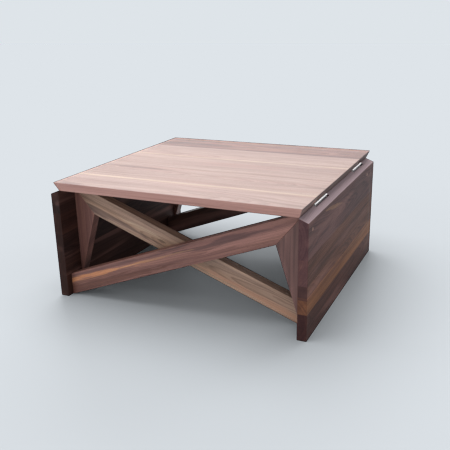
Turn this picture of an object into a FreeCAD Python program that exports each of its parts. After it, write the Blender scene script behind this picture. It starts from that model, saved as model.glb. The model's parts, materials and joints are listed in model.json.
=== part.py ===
"""Transforming coffee table in solid walnut.

A glued-up top stands on two hinged end leaves.  Each leaf carries two bar-and-brace frames, so a leaf and
its frames swing up together through a quarter turn: the leaf becomes an extension of the top, the brace lies
flat under it, and the long bar becomes a leg.  The four frames run in four planes, so they pass each other
as an X.

Millimetres.  +Z is up, +X runs from the left hinge to the right one, -Y is the front.  The origin is on the
floor under the middle of the top.  The left half is the right half turned by 180 degrees about Z.
"""
import FreeCAD, Part
import math
import os
import Sketcher

SIZES = {
    # top
    "top_length": 748, "top_width": 729, "top_thick": 26, "table_height": 356.5,
    "bevel_inset": 10.5, "joint_gap": 0.05,
    # end leaves
    "leaf_thick": 26, "leaf_width": 721,
    # bar-and-brace frames
    "frame_thick": 31, "frame_setback": 20, "frame_spacing": 23, "bar_width": 62, "bar_slope": 20.5,
    "brace_head": 66, "brace_tip_height": 50, "brace_tip_width": 3, "frame_clearance": 3.5,
    "foot_clearance": 1.5,
    "tenon_length": 44, "tenon_width": 28, "tenon_thick": 10, "tenon_station": 0.33,
    # what holds each frame to its leaf: a plugged screw near the top and two hidden dowels below it
    "frame_screw_radius": 2.5, "frame_screw_head": 4.6, "frame_screw_length": 50, "frame_screw_height": 296,
    "plug_radius": 5, "plug_length": 8,
    "dowel_radius": 4, "dowel_length": 34, "dowel_in_leaf": 16,
    "upper_dowel_height": 225, "lower_dowel_height": 140,
    # butt hinges
    "hinge_length": 112, "hinge_front": -180, "hinge_rear": 222, "knuckle_radius": 3.9, "pin_radius": 1.9,
    "bore_clearance": 0.05, "knuckle_gap": 0.3, "plate_reach": 28, "plate_thick": 2, "notch_gap": 0.6,
    "slot_inner": 6, "slot_outer": 8.5, "slot_rise": 8, "slot_depth": 9, "slot_end_gap": 4.5,
    "hinge_screw_radius": 1.75, "hinge_screw_head": 3.3, "hinge_screw_length": 17,
    "hinge_screw_margin": 14, "hinge_screw_stagger": 6, "recess_width": 0.9, "recess_depth": 1.2,
}
# glue lines: distances from the front edge of the top, and heights in each leaf from its top board down
TOP_SEAMS = {"top_seam_a": 133, "top_seam_b": 277, "top_seam_c": 435, "top_seam_d": 588, "top_seam_e": 680}
LEAF_SEAMS = {
    "right": {"right_seam_a": 223, "right_seam_b": 152, "right_seam_c": 114, "right_seam_d": 74},
    "left": {"left_seam_a": 262, "left_seam_b": 197, "left_seam_c": 131, "left_seam_d": 66},
}
KNUCKLES = 5
SCREWS_PER_PLATE = 4
RECESS_ARM = 0.55

doc = FreeCAD.newDocument("transforming_table")
sizes = doc.addObject("Spreadsheet::Sheet", "sizes")
NODES = {}
TOOLS = {}

# expressions that several parts share
HINGE_X = "(sizes.top_length / 2 - sizes.bevel_inset + sizes.joint_gap)"
HINGE_Z = "(sizes.table_height - sizes.top_thick)"
FRAME_TOP = f"({HINGE_Z} - sizes.frame_clearance)"
BAR_RISE = "tan(sizes.bar_slope * 1 deg)"
BAR_DEPTH = "(sizes.bar_width / cos(sizes.bar_slope * 1 deg))"
FOOT_REACH = f"({HINGE_X} - sizes.foot_clearance)"
CORNER_X = f"({HINGE_X} - sizes.brace_head)"
CORNER_Z = f"({BAR_RISE} * ({CORNER_X} + {FOOT_REACH}))"
FRAME_LINES = {
    "outer": "-(sizes.leaf_width / 2 - sizes.frame_setback - sizes.frame_thick / 2)",
    "inner": "(sizes.leaf_width / 2 - sizes.frame_setback - sizes.frame_spacing - 1.5 * sizes.frame_thick)",
}
HINGES = {"front": "sizes.hinge_front", "rear": "sizes.hinge_rear"}
TURN = {"right": 0, "left": 180}


def fill_sheet():
    """One row per driving size: its name, its value and the alias that expressions use."""
    rows = {**SIZES, **TOP_SEAMS, **LEAF_SEAMS["right"], **LEAF_SEAMS["left"]}
    for row, (name, value) in enumerate(rows.items(), start=1):
        sizes.set(f"A{row}", name)
        sizes.set(f"B{row}", str(value))
        sizes.setAlias(f"B{row}", name)
    doc.recompute()


def number(expression):
    """The value of an expression in sheet sizes."""
    value = sizes.evalExpression(expression)
    return float(getattr(value, "Value", value))


def side_placement(side, x=0.0, y=0.0, z=0.0, turn_y=0.0):
    """A place in the right half of the table, turned about Z for the left half."""
    local = FreeCAD.Placement(FreeCAD.Vector(x, y, z), FreeCAD.Rotation(FreeCAD.Vector(0, 1, 0), turn_y))
    half_turn = FreeCAD.Placement(FreeCAD.Vector(), FreeCAD.Rotation(FreeCAD.Vector(0, 0, 1), TURN[side]))
    return half_turn.multiply(local)


def new_body(label, side="right", y="0"):
    """An empty body whose own XZ plane lies at y in the right half, or half-turned in the left."""
    body = doc.addObject("PartDesign::Body", label)
    body.Label = label
    body.Placement = side_placement(side)
    sign = "-" if side == "left" else ""
    body.setExpression("Placement.Base.y", f"{sign}1 mm * ({y})")
    return body


def attach(body, name, role):
    """A sketch on one of the body's own origin planes."""
    sketch = body.newObject("Sketcher::SketchObject", name)
    plane = next(f for f in body.Origin.OriginFeatures if f.Role == role)
    sketch.AttachmentSupport = [(plane, "")]
    sketch.MapMode = "FlatFace"
    return sketch


def outline(body, name, role, corners):
    """A closed sketch with straight sides; each corner is a pair of expressions."""
    sketch = attach(body, name, role)
    points = [FreeCAD.Vector(number(a), number(b), 0) for a, b in corners]
    count = len(points)
    for i in range(count):
        sketch.addGeometry(Part.LineSegment(points[i], points[(i + 1) % count]), False)
    for i in range(count):
        sketch.addConstraint(Sketcher.Constraint("Coincident", i, 2, (i + 1) % count, 1))
    for i, (across, upward) in enumerate(corners):
        point = points[i]
        for kind, expression, value in (("DistanceX", across, point.x), ("DistanceY", upward, point.y)):
            index = sketch.addConstraint(Sketcher.Constraint(kind, -1, 1, i, 1, value))
            sketch.setExpression(f"Constraints[{index}]", f"1 mm * ({expression})")
    return sketch


def pad(body, sketch, length):
    """Extrudes a sketch evenly to both sides of its plane."""
    feature = body.newObject("PartDesign::Pad", "pad")
    feature.Profile = sketch
    feature.Midplane = True
    feature.setExpression("Length", f"1 mm * ({length})")
    doc.recompute()
    return feature


def block(label, length, width, height):
    """A box object whose three sides follow the sheet; its lowest corner is at its placement."""
    box = doc.addObject("Part::Box", label)
    for prop, expression in (("Length", length), ("Width", width), ("Height", height)):
        box.setExpression(prop, f"1 mm * ({expression})")
    return box


def rod(label, radius, height):
    """A cylinder object along its own Z."""
    cylinder = doc.addObject("Part::Cylinder", label)
    cylinder.setExpression("Radius", f"1 mm * ({radius})")
    cylinder.setExpression("Height", f"1 mm * ({height})")
    return cylinder


def cut(base, tools, label):
    """Takes each tool out of the base in turn."""
    for i, tool in enumerate(tools):
        result = doc.addObject("Part::Cut", f"{label}_cut_{i + 1}")
        result.Base = base
        result.Tool = tool
        base = result
    doc.recompute()
    return base


def keep(obj, label):
    """Names an object as a sub-part of the table."""
    if obj.Label != label:
        for other in doc.Objects:
            if other.Label == label:
                other.Label = f"{label}_blank"
    obj.Label = label
    NODES[label] = obj


def group_of(master, places, label):
    """One object that holds a linked copy of the master at each place."""
    copies = []
    for i, place in enumerate(places):
        copy = doc.addObject("App::Link", f"{label}_copy_{i + 1}")
        copy.LinkedObject = master
        copy.LinkTransform = False
        copy.Placement = place
        copies.append(copy)
    group = doc.addObject("Part::Compound", label)
    group.Links = copies
    doc.recompute()
    return group


# ---------------------------------------------------------------- fasteners

def screw_blank(label, radius, head, length):
    """The outside of a countersunk screw, head flush with z = 0 and point down."""
    body = new_body(label)
    cone = f"({head} - {radius})"
    corners = [("0", "0"), (head, "0"), (radius, f"-{cone}"), (radius, f"-({length} - 2 * {radius})"),
               ("0", f"-({length})")]
    profile = outline(body, f"{label}_profile", "XZ_Plane", corners)
    turned = body.newObject("PartDesign::Revolution", "turned")
    turned.Profile = profile
    turned.ReferenceAxis = (profile, ["V_Axis"])
    turned.Angle = 360
    doc.recompute()
    return body


def screw(label, radius, head, length):
    """A countersunk screw with a cross recess in its head."""
    body = screw_blank(label, radius, head, length)
    arm, half = f"({head} * {RECESS_ARM})", "sizes.recess_width / 2"
    cross = [(f"-{arm}", f"-{half}"), (f"-{half}", f"-{half}"), (f"-{half}", f"-{arm}"), (half, f"-{arm}"),
             (half, f"-{half}"), (arm, f"-{half}"), (arm, half), (half, half), (half, arm), (f"-{half}", arm),
             (f"-{half}", half), (f"-{arm}", half)]
    recess = body.newObject("PartDesign::Pocket", "recess")
    recess.Profile = outline(body, f"{label}_cross", "XY_Plane", cross)
    recess.setExpression("Length", "1 mm * sizes.recess_depth")
    doc.recompute()
    return body


def plate_screw_places():
    """(distance from the hinge pin, distance along the hinge from its middle) of each plate screw."""
    half = number("sizes.hinge_length / 2 - sizes.hinge_screw_margin")
    middle = number("sizes.plate_reach / 2 + sizes.knuckle_radius / 2")
    stagger = number("sizes.hinge_screw_stagger")
    step = 2 * half / (SCREWS_PER_PLATE - 1)
    return [(middle + stagger * (1 if i % 2 else -1) / 2, -half + step * i) for i in range(SCREWS_PER_PLATE)]


def hinge_screws():
    """The screws of every hinge plate: one group in the top, one in each leaf."""
    form = ("sizes.hinge_screw_radius", "sizes.hinge_screw_head", "sizes.hinge_screw_length")
    kinds = {"screws": screw("hinge_screw", *form), "screw_holes": screw_blank("hinge_screw_hole", *form)}
    pin_x, pin_z = number(HINGE_X), number(HINGE_Z)
    in_top, in_leaf = [], {side: [] for side in TURN}
    for side in TURN:
        for line in HINGES.values():
            for reach, along in plate_screw_places():
                y = number(line)
                in_top.append(side_placement(side, pin_x - reach, y + along, pin_z, 180))
                in_leaf[side].append(side_placement(side, pin_x, y - along, pin_z - reach, -90))
    for kind, master in kinds.items():
        groups = {f"top_hinge_{kind}": in_top}
        groups.update({f"{side}_leaf_hinge_{kind}": places for side, places in in_leaf.items()})
        for label, places in groups.items():
            TOOLS[label] = group_of(master, places, label)
            if kind == "screws":
                keep(TOOLS[label], label)


def frame_fasteners():
    """A long screw through each leaf into each frame, the plug over its head, and the glued dowels."""
    form = ("sizes.frame_screw_radius", "sizes.frame_screw_head", "sizes.frame_screw_length")
    masters = {
        "screws": screw("frame_screw", *form),
        "screw_holes": screw_blank("frame_screw_hole", *form),
        "plugs": rod("frame_plug", "sizes.plug_radius", "sizes.plug_length"),
        "dowels": rod("frame_dowel", "sizes.dowel_radius", "sizes.dowel_length"),
    }
    seat = number(f"{HINGE_X} + sizes.leaf_thick - sizes.plug_length")
    dowel_end = number(f"{HINGE_X} + sizes.dowel_in_leaf - sizes.dowel_length")
    lines = [number(line) for line in FRAME_LINES.values()]
    for side in TURN:
        at_screws = [side_placement(side, seat, y, number("sizes.frame_screw_height"), 90) for y in lines]
        at_dowels = [side_placement(side, dowel_end, y, number(f"sizes.{level}_dowel_height"), 90)
                     for y in lines for level in ("upper", "lower")]
        for kind, master in masters.items():
            label = f"{side}_frame_{kind}"
            TOOLS[label] = group_of(master, at_dowels if kind == "dowels" else at_screws, label)
            if kind != "screw_holes":
                keep(TOOLS[label], label)


# ---------------------------------------------------------------- hinges

def knuckle_spans(first):
    """(start, end) along the hinge of every other knuckle, beginning with number first."""
    length = number("sizes.hinge_length")
    gap = number("sizes.knuckle_gap")
    pitch = length / KNUCKLES
    return [(-length / 2 + pitch * i + gap / 2, -length / 2 + pitch * (i + 1) - gap / 2)
            for i in range(first, KNUCKLES, 2)]


def plate_master(label, first, bore):
    """Half of a butt hinge.  The pin is the Y axis, and the plate lies at -X above z = 0, face down."""
    plate = block(f"{label}_sheet", "sizes.plate_reach", "sizes.hinge_length", "sizes.plate_thick")
    plate.setExpression("Placement.Base.x", "-1 mm * sizes.plate_reach")
    plate.setExpression("Placement.Base.y", "-1 mm * sizes.hinge_length / 2")
    along_y = FreeCAD.Rotation(FreeCAD.Vector(1, 0, 0), -90)
    rolls, notches = [], []
    for start, end in knuckle_spans(first):
        roll = rod(f"{label}_knuckle", "sizes.knuckle_radius", str(end - start))
        roll.Placement = FreeCAD.Placement(FreeCAD.Vector(0, start, 0), along_y)
        rolls.append(roll)
    margin = number("sizes.knuckle_gap")
    for start, end in knuckle_spans(1 - first):
        notch = block(f"{label}_notch", "2 * (sizes.knuckle_radius + sizes.notch_gap)",
                      str(end - start + 2 * margin), "2 * sizes.knuckle_radius")
        notch.setExpression("Placement.Base.x", "-1 mm * (sizes.knuckle_radius + sizes.notch_gap)")
        notch.Placement.Base.y = start - margin
        notch.setExpression("Placement.Base.z", "-1 mm * sizes.knuckle_radius")
        notches.append(notch)
    hole = rod(f"{label}_bore", bore, "sizes.hinge_length + 2")
    hole.Placement = FreeCAD.Placement(FreeCAD.Vector(0, -number("sizes.hinge_length / 2 + 1"), 0), along_y)
    screw_places = [side_placement("right", -reach, along, 0, 180) for reach, along in plate_screw_places()]
    holes = group_of(doc.getObject("hinge_screw_hole"), screw_places, f"{label}_countersinks")
    trimmed = cut(plate, notches, f"{label}_sheet")
    joined = doc.addObject("Part::MultiFuse", f"{label}_joined")
    joined.Shapes = [trimmed, *rolls]
    doc.recompute()
    return cut(joined, [hole, holes], label)


def hinges():
    """Four butt hinges on the two pin lines; the outer knuckles belong to the top."""
    fixed = plate_master("top_plate", 0, "sizes.pin_radius")
    moving = plate_master("leaf_plate", 1, "sizes.pin_radius + sizes.bore_clearance")
    pin_x, pin_z = number(HINGE_X), number(HINGE_Z)
    for side in TURN:
        for end, line in HINGES.items():
            y = number(line)
            name = f"{side}_{end}_hinge"
            under_top = side_placement(side, pin_x, y, pin_z)
            keep(group_of(fixed, [under_top], f"{name}_top_plate"), f"{name}_top_plate")
            # a half turn about the line between +X and +Z hangs the leaf's plate square to the top's
            flip = FreeCAD.Placement(FreeCAD.Vector(), FreeCAD.Rotation(FreeCAD.Vector(1, 0, 1), 180))
            keep(group_of(moving, [under_top.multiply(flip)], f"{name}_leaf_plate"), f"{name}_leaf_plate")
            pin = rod(f"{name}_pin", "sizes.pin_radius", "sizes.hinge_length + 1")
            start = y - number("sizes.hinge_length / 2 + 0.5")
            lying = FreeCAD.Placement(FreeCAD.Vector(pin_x, start, pin_z),
                                      FreeCAD.Rotation(FreeCAD.Vector(1, 0, 0), -90))
            pin.Placement = side_placement(side).multiply(lying)
            keep(pin, f"{name}_pin")


def hinge_pockets(side):
    """What the joiner cuts away for the hinges of one side: knuckle slots and plate recesses."""
    pockets = []
    pin_x, pin_z = number(HINGE_X), number(HINGE_Z)
    reach = number("sizes.plate_reach")
    for end, line in HINGES.items():
        name = f"{side}_{end}_pocket"
        slot = block(f"{name}_slot", "sizes.slot_inner + sizes.slot_outer",
                     "sizes.hinge_length + 2 * sizes.slot_end_gap", "sizes.slot_depth + sizes.slot_rise")
        front = number(f"{line} - sizes.hinge_length / 2")
        inner, end_gap, depth = (number(f"sizes.slot_{size}") for size in ("inner", "end_gap", "depth"))
        slot.Placement = side_placement(side, pin_x - inner, front - end_gap, pin_z - depth)
        in_top = block(f"{name}_top", "sizes.plate_reach", "sizes.hinge_length", "sizes.plate_thick")
        in_top.Placement = side_placement(side, pin_x - reach, front, pin_z)
        in_leaf = block(f"{name}_leaf", "sizes.plate_thick", "sizes.hinge_length", "sizes.plate_reach")
        in_leaf.Placement = side_placement(side, pin_x, front, pin_z - reach)
        pockets += [slot, in_top, in_leaf]
    joined = doc.addObject("Part::MultiFuse", f"{side}_hinge_pockets")
    joined.Shapes = pockets
    doc.recompute()
    return joined


# ---------------------------------------------------------------- wood

def top_boards(pockets):
    """The boards of the top, front to back, undercut along the ends and along the outermost edges."""
    seams = ["0", *(f"sizes.{name}" for name in TOP_SEAMS), "sizes.top_width"]
    half, low = "sizes.top_length / 2", "(sizes.top_length / 2 - sizes.bevel_inset)"
    for i in range(len(seams) - 1):
        label = f"top_board_{i + 1}"
        width = f"({seams[i + 1]} - ({seams[i]}))"
        middle = f"({seams[i]} + {width} / 2 - sizes.top_width / 2)"
        body = new_body(label, "right", middle)
        section = [(f"-{low}", HINGE_Z), (low, HINGE_Z), (half, "sizes.table_height"),
                   (f"-{half}", "sizes.table_height")]
        pad(body, outline(body, f"{label}_section", "XZ_Plane", section), width)
        outward = {0: -1, len(seams) - 2: 1}.get(i)
        if outward:
            edge, foot = f"{outward} * {width} / 2", f"{outward} * ({width} / 2 - sizes.bevel_inset)"
            wedge = outline(body, f"{label}_undercut", "YZ_Plane",
                            [(edge, "sizes.table_height"), (edge, HINGE_Z), (foot, HINGE_Z)])
            undercut = body.newObject("PartDesign::Pocket", "undercut")
            undercut.Profile = wedge
            undercut.Midplane = True
            undercut.Type = "Length"
            undercut.setExpression("Length", "1 mm * (sizes.top_length + 10)")
            doc.recompute()
        keep(cut(body, [*pockets, TOOLS["top_hinge_screw_holes"]], label), label)


def leaf_boards(side, pockets):
    """The boards of one leaf from its top down; the first is bevelled to meet the top when it is raised."""
    seams = [f"sizes.{name}" for name in LEAF_SEAMS[side]]
    outer = f"({HINGE_X} + sizes.leaf_thick)"
    edges = [f"({HINGE_Z} - sizes.joint_gap)", *seams, "0"]
    for i in range(len(edges) - 1):
        label = f"{side}_leaf_board_{i + 1}"
        upper_outer = f"({edges[0]} - sizes.bevel_inset)" if i == 0 else edges[i]
        body = new_body(label, side)
        section = [(HINGE_X, edges[i + 1]), (outer, edges[i + 1]), (outer, upper_outer), (HINGE_X, edges[i])]
        pad(body, outline(body, f"{label}_section", "XZ_Plane", section), "sizes.leaf_width")
        tools = [TOOLS[f"{side}_frame_{kind}"] for kind in ("screw_holes", "plugs", "dowels")]
        if i == 0:
            tools += [pockets, TOOLS[f"{side}_leaf_hinge_screw_holes"]]
        keep(cut(body, tools, label), label)


def tenon(side, which):
    """The hidden loose tenon across the mitre of one frame."""
    label = f"{side}_{which}_tenon"
    piece = block(label, "sizes.tenon_length", "sizes.tenon_thick", "sizes.tenon_width")
    corner = FreeCAD.Vector(number(CORNER_X), 0, number(CORNER_Z))
    crown = FreeCAD.Vector(number(HINGE_X), 0, number(FRAME_TOP))
    station = corner + (crown - corner) * number("sizes.tenon_station")
    lean = math.degrees(math.atan2(crown.x - corner.x, crown.z - corner.z))
    back = FreeCAD.Vector(*(-number(f"sizes.tenon_{size} / 2") for size in ("length", "thick", "width")))
    centre = side_placement(side, station.x, number(FRAME_LINES[which]), station.z, lean)
    piece.Placement = centre.multiply(FreeCAD.Placement(back, FreeCAD.Rotation()))
    keep(piece, label)
    return piece


def leg(side, which, tools):
    """The long bar: a leg when the leaf is up.  Its lower end is cut upright, its upper end mitred."""
    label = f"{side}_{which}_leg"
    foot = f"-{FOOT_REACH}"
    crown = f"({foot} + ({FRAME_TOP} - {BAR_DEPTH}) / {BAR_RISE})"
    corners = [(foot, "0"), (CORNER_X, CORNER_Z), (HINGE_X, FRAME_TOP), (crown, FRAME_TOP), (foot, BAR_DEPTH)]
    body = new_body(label, side, FRAME_LINES[which])
    pad(body, outline(body, f"{label}_section", "XZ_Plane", corners), "sizes.frame_thick")
    keep(cut(body, tools, label), label)


def brace(side, which, tools):
    """The tapered piece against the leaf's inner face, mitred to the leg at its wide end."""
    label = f"{side}_{which}_brace"
    tip_x, tip_z = f"({HINGE_X} - sizes.brace_tip_width)", "sizes.brace_tip_height"
    corners = [(HINGE_X, FRAME_TOP), (CORNER_X, CORNER_Z), (tip_x, tip_z), (HINGE_X, tip_z)]
    body = new_body(label, side, FRAME_LINES[which])
    pad(body, outline(body, f"{label}_section", "XZ_Plane", corners), "sizes.frame_thick")
    keep(cut(body, tools, label), label)


def frame(side, which, pockets):
    """One bar-and-brace frame: the inner one is notched round the end of a hinge."""
    tools = [tenon(side, which), TOOLS[f"{side}_frame_screw_holes"], TOOLS[f"{side}_frame_dowels"]]
    if which == "inner":
        tools.append(pockets)
    leg(side, which, tools)
    brace(side, which, tools)


# ---------------------------------------------------------------- check and write

def check():
    """Stops at a failed object or a sub-part with a bad shape."""
    for obj in doc.Objects:
        if any(word in obj.State for word in ("Invalid", "Error")):
            raise RuntimeError(f"{obj.Label} failed: {obj.State}")
    for label, obj in NODES.items():
        if obj.Shape.isNull() or not obj.Shape.isValid() or not obj.Shape.Solids:
            raise RuntimeError(f"{label} has a bad shape")


def write():
    """One STEP file per sub-part."""
    os.makedirs("parts", exist_ok=True)
    for name in os.listdir("parts"):
        os.remove(os.path.join("parts", name))
    for label, obj in NODES.items():
        obj.Shape.exportStep(os.path.join("parts", f"{label}.step"))
        print(f"{label:34s} {len(obj.Shape.Solids):3d} solids {obj.Shape.Volume / 1000:10.2f} cm3")


fill_sheet()
hinge_screws()
frame_fasteners()
hinges()
side_pockets = {side: hinge_pockets(side) for side in TURN}
top_boards(list(side_pockets.values()))
for side in TURN:
    leaf_boards(side, side_pockets[side])
    for which in FRAME_LINES:
        frame(side, which, side_pockets[side])
doc.recompute()
check()
write()
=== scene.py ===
"""Looks of the transforming walnut table: oiled solid wood, steel butt hinges and a pale studio floor."""
import bmesh
import bpy
import json
from math import cos, radians, sin
from mathutils import Matrix, Vector

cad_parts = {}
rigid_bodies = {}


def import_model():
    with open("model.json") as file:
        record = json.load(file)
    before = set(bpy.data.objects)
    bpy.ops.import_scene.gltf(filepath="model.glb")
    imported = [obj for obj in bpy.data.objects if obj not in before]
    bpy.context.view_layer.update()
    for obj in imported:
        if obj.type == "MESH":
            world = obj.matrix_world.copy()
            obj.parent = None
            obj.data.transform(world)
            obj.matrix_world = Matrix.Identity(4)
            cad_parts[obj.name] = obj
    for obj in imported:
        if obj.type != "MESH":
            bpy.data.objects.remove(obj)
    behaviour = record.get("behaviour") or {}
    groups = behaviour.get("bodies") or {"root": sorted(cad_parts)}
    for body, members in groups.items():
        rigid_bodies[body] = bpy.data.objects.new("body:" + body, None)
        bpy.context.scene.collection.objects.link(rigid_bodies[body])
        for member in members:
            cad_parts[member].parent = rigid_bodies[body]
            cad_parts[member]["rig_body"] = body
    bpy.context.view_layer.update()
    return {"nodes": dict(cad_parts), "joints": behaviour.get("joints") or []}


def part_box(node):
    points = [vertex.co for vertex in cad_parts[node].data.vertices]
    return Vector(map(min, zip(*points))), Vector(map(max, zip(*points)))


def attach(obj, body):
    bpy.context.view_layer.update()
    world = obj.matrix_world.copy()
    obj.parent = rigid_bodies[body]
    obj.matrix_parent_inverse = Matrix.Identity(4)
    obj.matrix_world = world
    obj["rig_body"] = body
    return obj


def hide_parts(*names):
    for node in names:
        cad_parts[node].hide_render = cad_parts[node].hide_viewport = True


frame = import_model()
MM = 0.001

# ---------------------------------------------------------------- sizes that the looks need
BAR_SLOPE = radians(20.5)
HINGE_LINE = Vector(frame["joints"][0]["pos_m"])
SEAM_WIDTH = 0.35 * MM

PANEL_EASING = 0.9 * MM
FRAME_EASING = 1.6 * MM
METAL_EASING = 0.3 * MM
EASING_SEGMENTS = 3
SHORTEST_EASED = 12 * MM
# how near corners are before they are one corner, and how flat a fold is before it is no fold
WELD = 0.002 * MM
FLAT = radians(0.5)
# folds sharper than SHARP are eased, and those sharper than CREASED are shaded as edges
SHARP = radians(28)
CREASED = radians(50)
# how near an edge lies to a glued face, and to the hinge line, to stay crisp
GLUED_REACH = 0.02 * MM
HINGE_REACH = 0.5 * MM

# ---------------------------------------------------------------- colours


def shade(red, green, blue):
    """A colour given as screen values from 11 to 255, as the linear colour that a node takes."""
    linear = [((value / 255 + 0.055) / 1.055) ** 2.4 for value in (red, green, blue)]
    return (*linear, 1.0)


SAPWOOD = shade(206, 182, 156)
HONEY = shade(178, 134, 98)
GOLD = shade(190, 122, 78)
FLAME = shade(216, 146, 96)
ROSE = shade(172, 124, 114)
BLUSH = shade(206, 156, 128)
PLUM = shade(76, 52, 54)
UMBER = shade(46, 29, 25)
CHESTNUT = shade(84, 44, 28)
# three shades of one wood, from the early wood of a ring to its late wood
PALE_WALNUT = (shade(172, 145, 134), shade(150, 121, 112), shade(112, 86, 81))
# PALE_WALNUT made lighter for the top's front board: painted light, the top brighter toward its front
PALE_WALNUT_PAINTED_LIGHTER = (shade(181, 154, 144), shade(160, 131, 122), shade(121, 95, 90))
TAN_WALNUT = (shade(184, 154, 134), shade(148, 120, 102), shade(88, 64, 56))
MID_WALNUT = (shade(160, 114, 100), shade(116, 78, 70), shade(66, 42, 41))
BROWN_WALNUT = (shade(117, 77, 60), shade(86, 53, 41), shade(47, 28, 24))
DARK_WALNUT = (shade(70, 46, 40), shade(48, 30, 27), shade(28, 17, 16))
PURPLE_WALNUT = (shade(122, 88, 82), shade(92, 64, 60), shade(54, 36, 36))
# PURPLE_WALNUT made a little darker for the right leaf's outer face: painted shade
PURPLE_WALNUT_PAINTED_DARKER = (shade(116, 81, 76), shade(87, 58, 55), shade(50, 32, 32))
GOLDEN_WALNUT = (shade(156, 104, 68), shade(117, 74, 47), shade(72, 43, 30))
RED_WALNUT = (shade(100, 62, 50), shade(72, 42, 35), shade(40, 24, 21))
SHADED_WALNUT = (shade(78, 50, 41), shade(56, 34, 29), shade(32, 19, 17))
BEECH = (shade(216, 178, 136), shade(198, 156, 114), shade(168, 124, 86))

# ---------------------------------------------------------------- node helpers


def wire(tree, kind, inputs=None, output=0, **settings):
    """Adds a node, fills inputs with values or links, and gives back one of its outputs."""
    node = tree.nodes.new(kind)
    for name, value in settings.items():
        setattr(node, name, value)
    for key, value in (inputs or {}).items():
        if isinstance(value, bpy.types.NodeSocket):
            tree.links.new(value, node.inputs[key])
        else:
            node.inputs[key].default_value = value
    return node.outputs[output]


def maths(tree, operation, first, second=0.0, clamp=False):
    return wire(tree, "ShaderNodeMath", {0: first, 1: second}, operation=operation, use_clamp=clamp)


def plus(tree, first, *others):
    for other in others:
        first = maths(tree, "ADD", first, other)
    return first


def minus(tree, first, second):
    return maths(tree, "SUBTRACT", first, second)


def times(tree, first, second):
    return maths(tree, "MULTIPLY", first, second)


def size_of(tree, value):
    return maths(tree, "ABSOLUTE", value)


def centred(tree, value, size, middle=0.5):
    """A value's distance from the middle of its range, times a size."""
    return times(tree, minus(tree, value, middle), size)


def mix(tree, factor, first, second, blend="MIX"):
    """Mixes two colours, whose places in the Mix node come after those for numbers and vectors."""
    inputs = {0: factor, 6: first, 7: second}
    return wire(tree, "ShaderNodeMix", inputs, 2, data_type="RGBA", blend_type=blend)


def fade(tree, value, start, end, low=0.0, high=1.0):
    """Smooth change from low to high as the value goes from start to end."""
    inputs = {"Value": value, "From Min": start, "From Max": end, "To Min": low, "To Max": high}
    return wire(tree, "ShaderNodeMapRange", inputs, interpolation_type="SMOOTHSTEP")


def axes(tree, vector):
    """The three parts of a vector."""
    split = tree.nodes.new("ShaderNodeSeparateXYZ")
    tree.links.new(vector, split.inputs[0])
    return split.outputs


def stretched(tree, vector, scale, offset):
    return wire(tree, "ShaderNodeMapping", {"Vector": vector, "Location": offset, "Scale": scale})


def noise(tree, vector, detail, roughness, output="Fac"):
    inputs = {"Vector": vector, "Scale": 1.0, "Detail": detail, "Roughness": roughness}
    return wire(tree, "ShaderNodeTexNoise", inputs, output)


def pattern(tree, vector, kind, offset=(0, 0, 0), output="Fac"):
    """Noise of one kind: how often it repeats in a metre along each axis, its detail and its roughness."""
    repeats, detail, roughness = kind
    return noise(tree, stretched(tree, vector, repeats, offset), detail, roughness, output)


def wander(tree, vector, kind, offset, size):
    """A vector that wanders round nothing: noise of one kind, times a size."""
    drift = pattern(tree, vector, kind, offset, "Color")
    drift = wire(tree, "ShaderNodeVectorMath", {0: drift, 1: (0.5, 0.5, 0.5)}, operation="SUBTRACT")
    return wire(tree, "ShaderNodeVectorMath", {0: drift, "Scale": size}, operation="SCALE")


def ramp(tree, value, stops):
    """Colours at positions; the ramp runs straight between them."""
    node = tree.nodes.new("ShaderNodeValToRGB")
    tree.links.new(value, node.inputs[0])
    elements = node.color_ramp.elements
    while len(elements) < len(stops):
        elements.new(0.5)
    for element, (position, colour) in zip(elements, stops):
        element.position = position
        element.color = colour
    return node.outputs[0]


def new_material(name):
    """An empty material with a Principled shader: its tree and its shader."""
    material = bpy.data.materials.new(name)
    material.use_nodes = True
    tree = material.node_tree
    return material, tree, tree.nodes["Principled BSDF"]


# ---------------------------------------------------------------- wood

# kinds of noise: repeats in a metre (along the grain, across the board and through it), detail, roughness
LOG_SWAY = ((1.9, 7, 7), 2.0, 0.45)
LOG_RIPPLE = ((9, 60, 60), 3.0, 0.5)
FIBRES = ((7, 260, 260), 4.0, 0.62)
LONG_STREAKS = ((2.2, 85, 85), 3.0, 0.6)
CLOUDS = ((1.6, 9, 9), 2.0, 0.5)
BLUSHES = ((2.4, 26, 26), 2.0, 0.5)
PORES = ((150, 2100, 2100), 1.0, 0.5)
SCUFFS = ((30, 70, 70), 3.0, 0.7)
STREAK_WAVES = ((5, 3, 3), 2.5, 0.5)
STREAK_FRAYS = ((14, 260, 260), 2.0, 0.5)
# the same for noise that changes outward from the heart: the rings' spacing, and good and poor years
SPACING_REPEATS, SPACING_DETAIL, SPACING_ROUGHNESS = 55.0, 3.0, 0.5
YEARS_REPEATS, YEARS_ALONG, YEARS_DETAIL, YEARS_ROUGHNESS = 95.0, 1.5, 4.0, 0.62
# how far apart in each pattern two boards lie whose seeds are one apart, so that no two are alike
FIGURE_STEPS = (11.3, 7.9, 4.7)
SWAY_STEPS = (3.1, 1.7, 2.3)
RIPPLE_STEPS = (1, 1, 1)
BLUSH_STEPS = (2.9, 8.3, 1)
FRAY_STEPS = (0, 1, 1)
SPACING_STEP = 3.3
YEARS_STEP = 9.1
WAVE_STEP, WAVE_STEP_ACROSS = 5.3, 90
# the values of a noise, or the turns of a surface, between which its effect comes in
BLUSH_LIMITS = (0.5, 0.72)
PORE_LIMITS = (0.62, 0.72)
SCUFF_LIMITS = (0.38, 0.66)
STREAK_TIP_LIMITS = (0.0, 0.2)
PAINTED_BEVEL_LIGHT_TURNS = (0.7, 0.9)
END_TURNS = (0.55, 0.95)

RIPPLE_SIZE = 3.2 * MM
SPACING_SHIFT = 7.0
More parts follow.
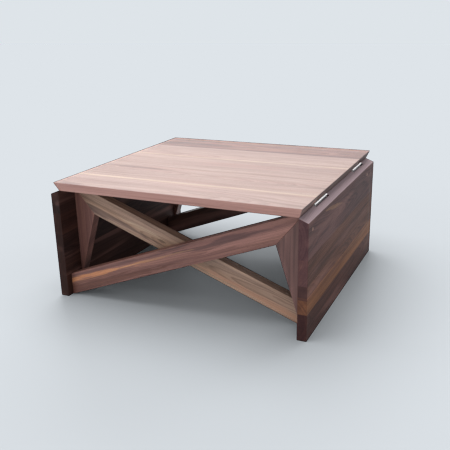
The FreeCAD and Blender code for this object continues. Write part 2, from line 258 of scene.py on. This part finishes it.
# through one year's ring: pale early wood that darkens slowly to late wood, then back at once
RING_ENDS = 0.1
RING_PROFILE = ((0.1, 0.0), (0.62, 0.42), (0.9, 1.0))
LATE_WOOD_MIDDLE = 0.42
FIBRE_WEIGHT = 0.32
LONG_STREAK_WEIGHT = 0.5
CLOUD_WEIGHT = 0.36
FIGURE_MIDDLE = 0.46
MIDDLE_SHADE_AT = 0.48

# a streak's own looks, where a board doesn't give them
STREAK = {"lean": 0.0, "wave": 8 * MM, "taper": 0.5, "soft": 0.4, "strength": 0.8}
STREAK_FRAY = 0.7
STREAK_TIP = 0.1 * MM
STAIN_COVER = 0.72
STAIN_FIGURE = 0.6
STAIN_SHADOWS = ((0.1, (1, 1, 1, 1)), (0.9, (0.5, 0.44, 0.42, 1)))
BLUSH_COVER = 0.7
BLUSH_STRENGTH = 0.4
PORE_DARKNESS = 0.55
SEAM_DARKNESS = 0.5
END_SOAK = 0.6
# how much lighter the eased edges of wood turn, less and more where scuffed: partly wear, partly a painted
# highlight
EDGE_WEAR_AND_HIGHLIGHT_LEAST = 0.14
EDGE_WEAR_AND_HIGHLIGHT_SCUFFED = 0.35
# what fibres, pores and end grain add to the roughness, and fibres, pores and late wood to the relief
FIBRE_ROUGHNESS, PORE_ROUGHNESS, END_ROUGHNESS = 0.16, 0.18, 0.16
FIBRE_HEIGHT, LATE_WOOD_DEPTH = 0.5, 0.25
RELIEF_STRENGTH = 0.35
RELIEF_DEPTH = 0.15 * MM


def grain_frame(along, across):
    """Turns a board's own axes (grain, width, thickness) into the table's."""
    along, across = Vector(along).normalized(), Vector(across).normalized()
    return Matrix((along, across, along.cross(across))).transposed()


def moved(look, steps):
    """Where in a pattern a board lies: its seed, times a step along each axis."""
    return tuple(look["seed"] * step for step in steps)


def growth(tree, board, look):
    """Distance from the tree's heart, a line that leans and wanders as it runs along the board."""
    place = axes(tree, board)
    sway = axes(tree, wander(tree, board, LOG_SWAY, moved(look, SWAY_STEPS), look["sway"]))
    ripple = axes(tree, wander(tree, board, LOG_RIPPLE, moved(look, RIPPLE_STEPS), RIPPLE_SIZE))
    squares = []
    for axis, heart, lean in zip((1, 2), look["heart"], look["lean"]):
        leaning = times(tree, place[0], lean)
        offset = plus(tree, minus(tree, place[axis], heart), leaning, sway[axis], ripple[axis])
        squares.append(maths(tree, "POWER", size_of(tree, offset), 2.0))
    return maths(tree, "SQRT", plus(tree, *squares))


def late_wood(tree, radius, look):
    """How far a point is from early to late wood in its ring; the rings' spacing changes over the years."""
    outward = {0: times(tree, radius, SPACING_REPEATS), 1: look["seed"] * SPACING_STEP}
    outward = wire(tree, "ShaderNodeCombineXYZ", outward)
    changes = noise(tree, outward, SPACING_DETAIL, SPACING_ROUGHNESS)
    rings = plus(tree, maths(tree, "DIVIDE", radius, look["ring"]), times(tree, changes, SPACING_SHIFT))
    profile = wire(tree, "ShaderNodeFloatCurve", {1: maths(tree, "FRACT", rings)})
    mapping = profile.node.mapping
    curve = mapping.curves[0]
    curve.points[0].location = (0.0, RING_ENDS)
    curve.points[-1].location = (1.0, RING_ENDS)
    for place, height in RING_PROFILE:
        curve.points.new(place, height)
    mapping.update()
    return profile


def figure(tree, board, radius, late, fibres, look):
    """How dark the wood is, from 0 to 1: rings, fibres, long streaks, groups of years and clouds together."""
    streaks = pattern(tree, board, LONG_STREAKS, moved(look, FIGURE_STEPS))
    outward = {0: times(tree, radius, YEARS_REPEATS), 1: look["seed"] * YEARS_STEP,
               2: times(tree, axes(tree, board)[0], YEARS_ALONG)}
    years = noise(tree, wire(tree, "ShaderNodeCombineXYZ", outward), YEARS_DETAIL, YEARS_ROUGHNESS)
    clouds = pattern(tree, board, CLOUDS, moved(look, FIGURE_STEPS))
    together = plus(tree, centred(tree, late, look["contrast"], LATE_WOOD_MIDDLE),
                    centred(tree, fibres, FIBRE_WEIGHT), centred(tree, streaks, LONG_STREAK_WEIGHT),
                    centred(tree, years, look["bands"]), centred(tree, clouds, CLOUD_WEIGHT))
    return maths(tree, "ADD", times(tree, together, look["depth"]), FIGURE_MIDDLE, clamp=True)


def band(tree, board, streak, look):
    """Where a streak of other colour lies: along the board between its ends, round one line across it."""
    streak = {**STREAK, **streak}
    place = axes(tree, board)
    own_waves = (look["seed"] * WAVE_STEP, streak["at"] * WAVE_STEP_ACROSS, 0)
    wave = centred(tree, pattern(tree, board, STREAK_WAVES, own_waves), streak["wave"])
    lean = times(tree, place[0], streak["lean"])
    line = minus(tree, plus(tree, place[1], wave, lean), streak["at"])
    fray = pattern(tree, board, STREAK_FRAYS, moved(look, FRAY_STEPS))
    distance = plus(tree, size_of(tree, line), centred(tree, fray, streak["width"] * STREAK_FRAY))
    half, strength = streak["width"] / 2, streak["strength"]
    if "ends" in streak:
        start, end = streak["ends"]
        run = abs(end - start) * streak["taper"]
        fullness = times(tree, fade(tree, place[0], start, start + run), fade(tree, place[0], end, end - run))
        half = plus(tree, times(tree, fullness, half), STREAK_TIP)
        strength = fade(tree, fullness, *STREAK_TIP_LIMITS, 0.0, strength)
    core = times(tree, half, streak["soft"])
    return times(tree, fade(tree, distance, half, core), strength)


def stained(tree, base, stain, shadows):
    """A stain over the wood, through which its figure still shows."""
    tinted = mix(tree, STAIN_COVER, base, stain)
    return mix(tree, STAIN_FIGURE, tinted, mix(tree, 1.0, tinted, shadows, "MULTIPLY"))


def facing(tree, normal, axis, turns):
    """How far the surface looks along an axis, either way."""
    toward = wire(tree, "ShaderNodeVectorMath", {0: normal, 1: axis}, "Value", operation="DOT_PRODUCT")
    return fade(tree, size_of(tree, toward), *turns)


def wood(name, centre, turn, look, half_width=None):
    """Oiled solid wood as a true solid: growth rings, streaks, fibres, pores, end grain, painted light on
    some bevels, and eased edges made lighter, partly as wear and partly as a painted highlight.
    """
    material, tree, shader = new_material(name)
    coordinates = tree.nodes.new("ShaderNodeTexCoord").outputs
    board = {"Vector": coordinates["Object"], "Location": centre, "Rotation": turn.to_euler()}
    board = wire(tree, "ShaderNodeMapping", board, vector_type="TEXTURE")
    own_figure = moved(look, FIGURE_STEPS)
    radius = growth(tree, board, look)
    late = late_wood(tree, radius, look)
    fibres = pattern(tree, board, FIBRES, own_figure)
    pores = fade(tree, pattern(tree, board, PORES, own_figure), *PORE_LIMITS)
    darkness = figure(tree, board, radius, late, fibres, look)

    early_shade, middle_shade, late_shade = look["shades"]
    colour = ramp(tree, darkness, ((0.0, early_shade), (MIDDLE_SHADE_AT, middle_shade), (1.0, late_shade)))
    blushes = pattern(tree, board, BLUSHES, moved(look, BLUSH_STEPS))
    blushes = fade(tree, blushes, *BLUSH_LIMITS, 0.0, BLUSH_STRENGTH)
    colour = mix(tree, blushes, colour, mix(tree, BLUSH_COVER, colour, look["blush"]))
    shadows = ramp(tree, darkness, STAIN_SHADOWS)
    for streak in look.get("streaks", ()):
        stain = stained(tree, colour, streak["shade"], shadows)
        colour = mix(tree, band(tree, board, streak, look), colour, stain)
    colour = mix(tree, times(tree, pores, PORE_DARKNESS), colour, late_shade)
    # painted light: bevels and edges, turned across the board, get a lighter tint for the light they catch
    if "painted_bevel_light" in look:
        painted_bevel_light = facing(tree, coordinates["Normal"], turn.col[1], PAINTED_BEVEL_LIGHT_TURNS)
        colour = mix(tree, painted_bevel_light, colour, stained(tree, colour, look["painted_bevel_light"], shadows))

    # end grain drinks more oil: darker and duller; on the top's ends and the shaded ends, darker still as
    # painted shade
    end_grain = facing(tree, coordinates["Normal"], turn.col[0], END_TURNS)
    soaked = mix(tree, END_SOAK, late_shade, look["end_shade"])
    colour = mix(tree, times(tree, end_grain, look["end_dark"]), colour, soaked)
    if half_width:
        seam = minus(tree, half_width, size_of(tree, axes(tree, board)[1]))
        colour = mix(tree, fade(tree, seam, SEAM_WIDTH, 0.0, 0.0, SEAM_DARKNESS), colour, UMBER)
    # eased edges turn lighter: partly wear, partly a painted highlight where the arrises catch the light
    scuffs = fade(tree, pattern(tree, board, SCUFFS, own_figure), *SCUFF_LIMITS)
    lightened_edges = wire(tree, "ShaderNodeAttribute", output="Fac", attribute_name="lightened_edges")
    lightened_edges = times(tree, lightened_edges, plus(tree, times(tree, scuffs, EDGE_WEAR_AND_HIGHLIGHT_SCUFFED), EDGE_WEAR_AND_HIGHLIGHT_LEAST))
    tree.links.new(mix(tree, lightened_edges, colour, early_shade), shader.inputs["Base Color"])

    roughness = plus(tree, times(tree, fibres, FIBRE_ROUGHNESS), look["roughness"])
    roughness = plus(tree, roughness, times(tree, pores, PORE_ROUGHNESS))
    roughness = maths(tree, "ADD", roughness, times(tree, end_grain, END_ROUGHNESS), clamp=True)
    tree.links.new(roughness, shader.inputs["Roughness"])
    shader.inputs["Specular IOR Level"].default_value = look["gloss"]
    relief = minus(tree, times(tree, fibres, FIBRE_HEIGHT), pores)
    relief = minus(tree, relief, times(tree, late, LATE_WOOD_DEPTH))
    relief = {"Height": relief, "Strength": RELIEF_STRENGTH, "Distance": RELIEF_DEPTH}
    tree.links.new(wire(tree, "ShaderNodeBump", relief), shader.inputs["Normal"])
    return material


# ---------------------------------------------------------------- metal

# the brushing: its repeats in a metre, across the strokes and along them, its detail and its roughness
STROKES_ACROSS, STROKES_ALONG = 3800.0, 160.0
BRUSH_DETAIL, BRUSH_ROUGHNESS = 2.0, 0.6
METAL_STAINS = ((140, 140, 140), 4.0, 0.6)
METAL_STAIN_LIMITS = (0.52, 0.7)
METAL_STAIN_STRENGTH = 0.35
# how much of the steel's colour is left in a brush stroke and in a stain
STROKE_SHARE, METAL_STAIN_SHARE = 0.82, 0.6
RUBBED_STEEL = shade(236, 235, 232)
RUBBED_COVER = 0.6
STROKE_ROUGHNESS, METAL_STAIN_ROUGHNESS = 0.14, 0.12
BRUSH_STRENGTH = 0.25
BRUSH_DEPTH = 0.03 * MM
HINGE_STEEL = shade(228, 226, 226)
SCREW_STEEL = shade(200, 198, 192)
HINGE_ROUGHNESS = 0.34
SCREW_ROUGHNESS = 0.3


def darker(colour, share):
    """A share of a colour's light."""
    return (*(share * value for value in colour[:3]), 1)


def steel(name, tint, dull):
    """Satin steel, brushed along the hinges: small stains and brighter worn edges."""
    material, tree, shader = new_material(name)
    place = tree.nodes.new("ShaderNodeTexCoord").outputs["Object"]
    strokes = ((STROKES_ACROSS, STROKES_ALONG, STROKES_ACROSS), BRUSH_DETAIL, BRUSH_ROUGHNESS)
    brushed = pattern(tree, place, strokes)
    stains = pattern(tree, place, METAL_STAINS)
    lightened_edges = wire(tree, "ShaderNodeAttribute", output="Fac", attribute_name="lightened_edges")
    colour = ramp(tree, brushed, ((0.3, darker(tint, STROKE_SHARE)), (0.7, tint)))
    stained_part = fade(tree, stains, *METAL_STAIN_LIMITS, 0.0, METAL_STAIN_STRENGTH)
    colour = mix(tree, stained_part, colour, darker(tint, METAL_STAIN_SHARE))
    colour = mix(tree, times(tree, lightened_edges, RUBBED_COVER), colour, RUBBED_STEEL)
    tree.links.new(colour, shader.inputs["Base Color"])
    shader.inputs["Metallic"].default_value = 1.0
    roughness = plus(tree, times(tree, brushed, STROKE_ROUGHNESS), dull)
    roughness = plus(tree, roughness, times(tree, stains, METAL_STAIN_ROUGHNESS))
    tree.links.new(roughness, shader.inputs["Roughness"])
    relief = {"Height": brushed, "Strength": BRUSH_STRENGTH, "Distance": BRUSH_DEPTH}
    tree.links.new(wire(tree, "ShaderNodeBump", relief), shader.inputs["Normal"])
    return material


# ---------------------------------------------------------------- pieces


def on_glued_face(edge, glued):
    """Whether an edge lies in one of the planes where a board is glued to its neighbours."""
    return any(all(abs(vertex.co[axis] - place) < GLUED_REACH for vertex in edge.verts)
               for axis, place in glued)


def on_hinge_line(edge):
    """Whether an edge runs along either hinge line, where the bevels close when a leaf is raised."""
    return all(abs(abs(vertex.co.x) - HINGE_LINE.x) < HINGE_REACH
               and abs(vertex.co.z - HINGE_LINE.z) < HINGE_REACH for vertex in edge.verts)


def eased(node, easing, glued=(), shortest=0.0):
    """A welded copy of a CAD node whose sharp outer edges are rounded over; edges on a glued face stay crisp.

    glued holds (axis, place) pairs: the planes in which this board meets its neighbours.
    """
    source = frame["nodes"][node]
    shape = bmesh.new()
    shape.from_mesh(source.data)
    bmesh.ops.remove_doubles(shape, verts=shape.verts, dist=WELD)
    bmesh.ops.dissolve_limit(shape, angle_limit=FLAT, verts=shape.verts, edges=shape.edges)
    outer = [edge for edge in shape.edges
             if edge.is_manifold and edge.is_convex and edge.calc_face_angle() > SHARP
             and edge.calc_length() > shortest and not on_glued_face(edge, glued) and not on_hinge_line(edge)]
    rounded = bmesh.ops.bevel(shape, geom=outer, offset=easing, offset_type="OFFSET", affect="EDGES",
                              segments=EASING_SEGMENTS, profile=0.5, material=-1, clamp_overlap=True)
    strips = set(rounded["faces"])
    # the rounded strips, which the materials paint lighter: wear, and on wood also a painted highlight
    lightened_edges = shape.verts.layers.float.new("lightened_edges")
    for vertex in shape.verts:
        vertex[lightened_edges] = 1.0 if vertex.link_faces and all(face in strips for face in vertex.link_faces) else 0.0
    for face in shape.faces:
        face.smooth = True
    mesh = bpy.data.meshes.new(f"{node}_finished")
    shape.to_mesh(mesh)
    shape.free()
    piece = bpy.data.objects.new(f"{node}_finished", mesh)
    bpy.context.scene.collection.objects.link(piece)
    mesh.set_sharp_from_angle(angle=CREASED)
    weighting = piece.modifiers.new("even_shading", "WEIGHTED_NORMAL")
    weighting.keep_sharp = True
    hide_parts(node)
    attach(piece, source["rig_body"])
    return piece


def middle(node):
    low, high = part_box(node)
    return (low + high) / 2


# ---------------------------------------------------------------- how each board was sawn

# seed: a number of the board's own, which moves its patterns
# shades: its early, middle and late wood; blush: a tint that comes and goes
# heart: metres from the board's middle to the tree's, across the board and through it
# lean: how much the heart moves each way in a metre of board; sway: how far it wanders
# ring: the spacing of the rings; contrast, bands, depth: strength of the rings, of groups of years, of all
# the tint on bevels and edges: painted light, lighter where they catch the light; end_shade, end_dark: the
# colour and strength of the end grain
# streaks: where each lies across the board, its width, its ends along the board from its middle, all in
# metres, its shade, how it leans and waves, how much of it tapers, how soft its edge is and how strong it is
PLAIN = {"heart": (0.0, -0.11), "lean": (0.0, 0.012), "ring": 2.6 * MM, "sway": 26 * MM, "contrast": 0.2,
         "bands": 0.95, "depth": 1.35, "blush": ROSE, "gloss": 0.4, "roughness": 0.38,
         "end_shade": UMBER, "end_dark": 0.5}
# a leaf's boards are planed and barely rubbed out, so they shine less than the top
LEAF_FINISH = {"gloss": 0.12, "roughness": 0.5, "end_dark": 0.4}
SHADED_END = 0.75
# the top's end grain, under the top's edge, darker: partly oil, partly painted shade
TOP_END_SOAK_AND_SHADE = 0.85

TOP_BOARDS = {
    "top_board_1": {
        "seed": 1, "shades": PALE_WALNUT_PAINTED_LIGHTER, "heart": (-0.05, -0.16), "painted_bevel_light": shade(204, 152, 140),
        "streaks": [{"at": 0.0545, "width": 20 * MM, "shade": SAPWOOD, "wave": 5 * MM, "soft": 0.35}]},
    "top_board_2": {
        "seed": 2, "shades": PALE_WALNUT, "heart": (0.012, -0.075), "lean": (0.02, 0.03),
        "streaks": [{"at": 0.034, "width": 34 * MM, "shade": PLUM, "ends": (-0.42, -0.08), "lean": 0.05,
                     "strength": 0.6},
                    {"at": -0.03, "width": 18 * MM, "shade": PLUM, "ends": (-0.45, -0.15), "strength": 0.3}]},
    "top_board_3": {
        "seed": 3, "shades": PALE_WALNUT, "heart": (0.09, -0.13), "lean": (0.02, 0.01),
        "streaks": [{"at": -0.062, "width": 22 * MM, "shade": PLUM, "ends": (-0.02, 0.45), "lean": 0.04,
                     "strength": 0.3}]},
    "top_board_4": {
        "seed": 4, "shades": PALE_WALNUT, "heart": (-0.03, -0.2),
        "streaks": [{"at": -0.067, "width": 15 * MM, "shade": SAPWOOD, "wave": 4 * MM, "soft": 0.35}]},
    "top_board_5": {
        "seed": 5, "shades": MID_WALNUT, "heart": (0.01, -0.08), "lean": (0.01, 0.02),
        "streaks": [{"at": 0.0, "width": 96 * MM, "shade": PLUM, "ends": (-0.6, 0.12)},
                    {"at": -0.04, "width": 10 * MM, "shade": PLUM, "strength": 0.7}]},
    "top_board_6": {
        "seed": 6, "shades": MID_WALNUT, "heart": (0.14, -0.05),
        "streaks": [{"at": -0.012, "width": 34 * MM, "shade": PLUM, "ends": (-0.6, -0.05), "strength": 0.5}]},
}
RIGHT_LEAF_BOARDS = {
    "right_leaf_board_1": {
        "seed": 11, "shades": PURPLE_WALNUT_PAINTED_DARKER, "heart": (-0.01, -0.09), "lean": (0.0, 0.03),
        "painted_bevel_light": shade(200, 178, 184), "end_shade": shade(84, 66, 78),
        "streaks": [{"at": 0.0032, "width": 16 * MM, "shade": HONEY, "ends": (-0.24, -0.02), "lean": 0.156,
                     "strength": 0.55}]},
    "right_leaf_board_2": {
        "seed": 12, "shades": BROWN_WALNUT, "heart": (0.05, -0.1), "end_shade": shade(124, 96, 106)},
    "right_leaf_board_3": {
        "seed": 13, "shades": BROWN_WALNUT, "heart": (0.0, -0.06), "lean": (0.01, 0.02),
        "end_shade": shade(66, 52, 58),
        "streaks": [{"at": -0.016, "width": 7 * MM, "shade": GOLD, "strength": 0.5}]},
    "right_leaf_board_4": {
        "seed": 14, "shades": GOLDEN_WALNUT, "heart": (-0.09, -0.1), "end_shade": shade(60, 54, 66),
        "streaks": [{"at": 0.013, "width": 12 * MM, "shade": HONEY, "ends": (-0.1, 0.9), "strength": 0.5}]},
    "right_leaf_board_5": {
        "seed": 15, "shades": RED_WALNUT, "heart": (0.02, -0.07), "end_shade": shade(48, 38, 50)},
}
LEFT_LEAF_BOARDS = {
    "left_leaf_board_1": {"seed": 21, "shades": DARK_WALNUT, "heart": (0.02, -0.08)},
    "left_leaf_board_2": {"seed": 22, "shades": SHADED_WALNUT, "heart": (-0.06, -0.1)},
    "left_leaf_board_3": {"seed": 23, "shades": DARK_WALNUT, "heart": (0.0, -0.07), "lean": (0.0, 0.03)},
    "left_leaf_board_4": {"seed": 24, "shades": SHADED_WALNUT, "heart": (0.07, -0.1)},
    "left_leaf_board_5": {"seed": 25, "shades": SHADED_WALNUT, "heart": (0.01, -0.09)},
}
FRAME_PIECES = {
    "right_outer_leg": {
        "seed": 31, "shades": MID_WALNUT, "heart": (0.05, -0.05), "lean": (0.02, 0.0),
        "streaks": [{"at": -0.012, "width": 44 * MM, "shade": CHESTNUT, "ends": (-0.8, 0.08),
                     "strength": 0.75},
                    {"at": 0.016, "width": 26 * MM, "shade": PLUM, "ends": (-0.06, 0.42), "wave": 22 * MM,
                     "strength": 0.85},
                    {"at": 0.026, "width": 14 * MM, "shade": PLUM, "ends": (-0.9, 0.2), "strength": 0.6},
                    {"at": -0.008, "width": 30 * MM, "shade": ROSE, "ends": (0.05, 0.5), "wave": 24 * MM,
                     "lean": -0.06, "strength": 0.72},
                    {"at": 0.0155, "width": 36 * MM, "shade": FLAME, "ends": (-0.9, 0.04), "taper": 0.75,
                     "wave": 6 * MM, "strength": 0.95},
                    {"at": 0.0165, "width": 7 * MM, "shade": HONEY, "ends": (-0.3, 0.14), "wave": 6 * MM,
                     "strength": 0.7}]},
    "right_outer_brace": {"seed": 32, "shades": PURPLE_WALNUT, "heart": (0.1, -0.03)},
    "right_inner_leg": {"seed": 33, "shades": SHADED_WALNUT, "heart": (0.04, -0.06)},
    "right_inner_brace": {"seed": 34, "shades": SHADED_WALNUT, "heart": (0.09, -0.04)},
    "left_inner_leg": {
        "seed": 35, "shades": TAN_WALNUT, "heart": (0.0, -0.045), "lean": (0.03, 0.02), "blush": HONEY,
        "streaks": [{"at": 0.026, "width": 8 * MM, "shade": PLUM, "ends": (-0.4, 0.3), "strength": 0.4},
                    {"at": -0.012, "width": 30 * MM, "shade": BLUSH, "ends": (-0.9, 0.1), "wave": 14 * MM,
                     "strength": 0.75},
                    {"at": -0.012, "width": 30 * MM, "shade": PLUM, "ends": (-0.02, 0.7), "wave": 24 * MM,
                     "strength": 0.7},
                    {"at": 0.006, "width": 16 * MM, "shade": SAPWOOD, "ends": (0.05, 0.25), "wave": 20 * MM,
                     "strength": 0.5},
                    {"at": 0.001, "width": 12 * MM, "shade": UMBER, "ends": (0.055, 0.095),
                     "strength": 0.7}]},
    "left_inner_brace": {"seed": 36, "shades": MID_WALNUT, "heart": (0.1, -0.03)},
    "left_outer_leg": {"seed": 37, "shades": MID_WALNUT, "heart": (-0.05, -0.05), "lean": (0.02, 0.01)},
    "left_outer_brace": {"seed": 38, "shades": BROWN_WALNUT, "heart": (0.1, -0.03)},
}
PLUG = {"seed": 41, "shades": (HONEY, GOLDEN_WALNUT[0], MID_WALNUT[1]), "heart": (0.02, -0.04)}
DOWEL = {"seed": 42, "shades": BEECH}
TENON = {"seed": 43, "shades": BEECH}

for board_look in (*RIGHT_LEAF_BOARDS.values(), *LEFT_LEAF_BOARDS.values()):
    board_look.update(LEAF_FINISH)
for board_look in (RIGHT_LEAF_BOARDS["right_leaf_board_3"], *LEFT_LEAF_BOARDS.values()):
    board_look["end_dark"] = SHADED_END
for board_look in TOP_BOARDS.values():
    board_look["end_dark"] = TOP_END_SOAK_AND_SHADE


def dress(node, turn, look, easing=PANEL_EASING, glued=(), half_width=None, shortest=SHORTEST_EASED):
    """Eases a wooden node and gives it wood of its own."""
    piece = eased(node, easing, glued, shortest)
    piece.data.materials.append(wood(f"{node}_wood", middle(node), turn, {**PLAIN, **look}, half_width))


def panel(boards, turn, axis):
    """The boards of a glued panel; axis is the table's axis across them."""
    ends = sorted(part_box(node)[side][axis] for node in boards for side in (0, 1))
    inner = [(axis, place) for place in ends[1:-1]]
    for node, look in boards.items():
        low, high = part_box(node)
        dress(node, turn, look, glued=inner, half_width=(high[axis] - low[axis]) / 2)


def frames():
    """Bars and braces: a bar's grain follows its slope, and a brace's runs up the face of its leaf."""
    run, rise = cos(BAR_SLOPE), sin(BAR_SLOPE)
    for node, look in FRAME_PIECES.items():
        heading = 1 if node.startswith("right") else -1
        sloping = grain_frame((heading * run, 0, rise), (-heading * rise, 0, run))
        upright = grain_frame((0, 0, 1), (heading, 0, 0))
        dress(node, sloping if node.endswith("_leg") else upright, look, FRAME_EASING)


def small_wood():
    """Plugs over the frame screws, the hidden dowels and the loose tenons."""
    plug_turn = grain_frame((0, 1, 0.25), (0, -0.25, 1))
    dowel_turn = grain_frame((1, 0, 0), (0, 1, 0))
    tenon_turn = grain_frame((0.77, 0, -0.63), (0, 1, 0))
    for side in ("right", "left"):
        dress(f"{side}_frame_plugs", plug_turn, PLUG, METAL_EASING, shortest=0.0)
        dress(f"{side}_frame_dowels", dowel_turn, DOWEL, METAL_EASING, shortest=0.0)
        for which in ("outer", "inner"):
            dress(f"{side}_{which}_tenon", tenon_turn, TENON, FRAME_EASING, shortest=0.0)


def hardware():
    """Hinge plates, pins and screws."""
    hinge_steel = steel("hinge_steel", HINGE_STEEL, HINGE_ROUGHNESS)
    screw_steel = steel("screw_steel", SCREW_STEEL, SCREW_ROUGHNESS)
    for node in frame["nodes"]:
        if node.endswith(("_plate", "_pin", "_screws")):
            piece = eased(node, METAL_EASING)
            piece.data.materials.append(screw_steel if node.endswith("_screws") else hinge_steel)


panel(TOP_BOARDS, grain_frame((1, 0, 0), (0, 1, 0)), 1)
panel(RIGHT_LEAF_BOARDS, grain_frame((0, 1, 0), (0, 0, 1)), 2)
panel(LEFT_LEAF_BOARDS, grain_frame((0, -1, 0), (0, 0, 1)), 2)
frames()
small_wood()
hardware()

# ---------------------------------------------------------------- studio

FLOOR_REACH = 14
FLOOR_PAINT = shade(200, 206, 212)
FLOOR_ROUGHNESS = 0.55
BACKDROP = shade(222, 228, 233)
ROOM_TINT = (0.92, 0.96, 1.0, 1)
ROOM_STRENGTH = 0.42
# name, place, what it is aimed at, width and height, watts, tint
LIGHTS = (
    ("ceiling_light", (-0.6, 0.2, 3.0), (0, 0, 0.3), (3.2, 3.2), 102, (1, 0.98, 0.97)),
    ("window_light", (-2.2, -2.8, 1.3), (0, 0, 0.2), (2.2, 1.8), 30, (1, 0.99, 0.98)),
    ("front_light", (0.9, -3.4, 0.9), (0, 0, 0.2), (3.0, 1.4), 18, (1, 0.98, 0.97)),
    ("back_light", (-1.8, 3.6, 1.9), (0, 0, 0.35), (4.0, 1.6), 62, (1, 0.98, 0.98)),
    ("corner_light", (1.9, 3.3, 1.1), (0.3, 0, 0.3), (1.6, 1.6), 26, (1, 0.98, 0.98)),
)
# the eye's place in metres, and its turn to the left, dip below level and roll in degrees
EYE = (0.828, -1.784, 0.811)
EYE_TURN = 24.95
EYE_DIP = 18.33
EYE_ROLL = -1.22
LENS = 51.4
SENSOR_WIDTH = 36


def floor():
    """A wide floor that isn't part of the table.

    It shows only the shadows that fall on it, so that raised legs, which reach below it, stay in view.
    """
    shape = bmesh.new()
    bmesh.ops.create_grid(shape, x_segments=1, y_segments=1, size=FLOOR_REACH)
    mesh = bpy.data.meshes.new("floor")
    shape.to_mesh(mesh)
    shape.free()
    piece = bpy.data.objects.new("floor", mesh)
    bpy.context.scene.collection.objects.link(piece)
    material, tree, shader = new_material("floor_paint")
    shader.inputs["Base Color"].default_value = FLOOR_PAINT
    shader.inputs["Roughness"].default_value = FLOOR_ROUGHNESS
    mesh.materials.append(material)
    piece.is_shadow_catcher = True


def softbox(name, place, target, size, power, tint):
    """A large rectangular light aimed at a point, which the camera itself doesn't see."""
    data = bpy.data.lights.new(name, "AREA")
    data.shape = "RECTANGLE"
    data.size, data.size_y = size
    data.energy = power
    data.color = tint
    lamp = bpy.data.objects.new(name, data)
    lamp.location = place
    lamp.rotation_euler = (Vector(target) - Vector(place)).to_track_quat("-Z", "Y").to_euler()
    lamp.visible_camera = False
    bpy.context.scene.collection.objects.link(lamp)


def studio():
    """Soft lights in a pale room: the camera sees a plain backdrop, and the table is lit by the room."""
    world = bpy.data.worlds.new("studio")
    world.use_nodes = True
    tree = world.node_tree
    room = wire(tree, "ShaderNodeBackground", {"Color": ROOM_TINT, "Strength": ROOM_STRENGTH})
    backdrop = wire(tree, "ShaderNodeBackground", {"Color": BACKDROP, "Strength": 1.0})
    seen = wire(tree, "ShaderNodeLightPath", output="Is Camera Ray")
    surface = wire(tree, "ShaderNodeMixShader", {0: seen, 1: room, 2: backdrop})
    tree.links.new(surface, tree.nodes["World Output"].inputs["Surface"])
    bpy.context.scene.world = world
    bpy.context.scene.view_settings.view_transform = "Standard"
    for light in LIGHTS:
        softbox(*light)


def camera():
    """An eye in front of the table and to its right, looking a little down on it."""
    data = bpy.data.cameras.new("camera")
    data.lens = LENS
    data.sensor_width = SENSOR_WIDTH
    eye = bpy.data.objects.new("camera", data)
    turn = Matrix.Rotation(radians(EYE_TURN), 4, "Z") @ Matrix.Rotation(radians(90 - EYE_DIP), 4, "X")
    eye.matrix_world = Matrix.Translation(EYE) @ turn @ Matrix.Rotation(radians(EYE_ROLL), 4, "Z")
    bpy.context.scene.collection.objects.link(eye)
    bpy.context.scene.camera = eye


floor()
studio()
camera()
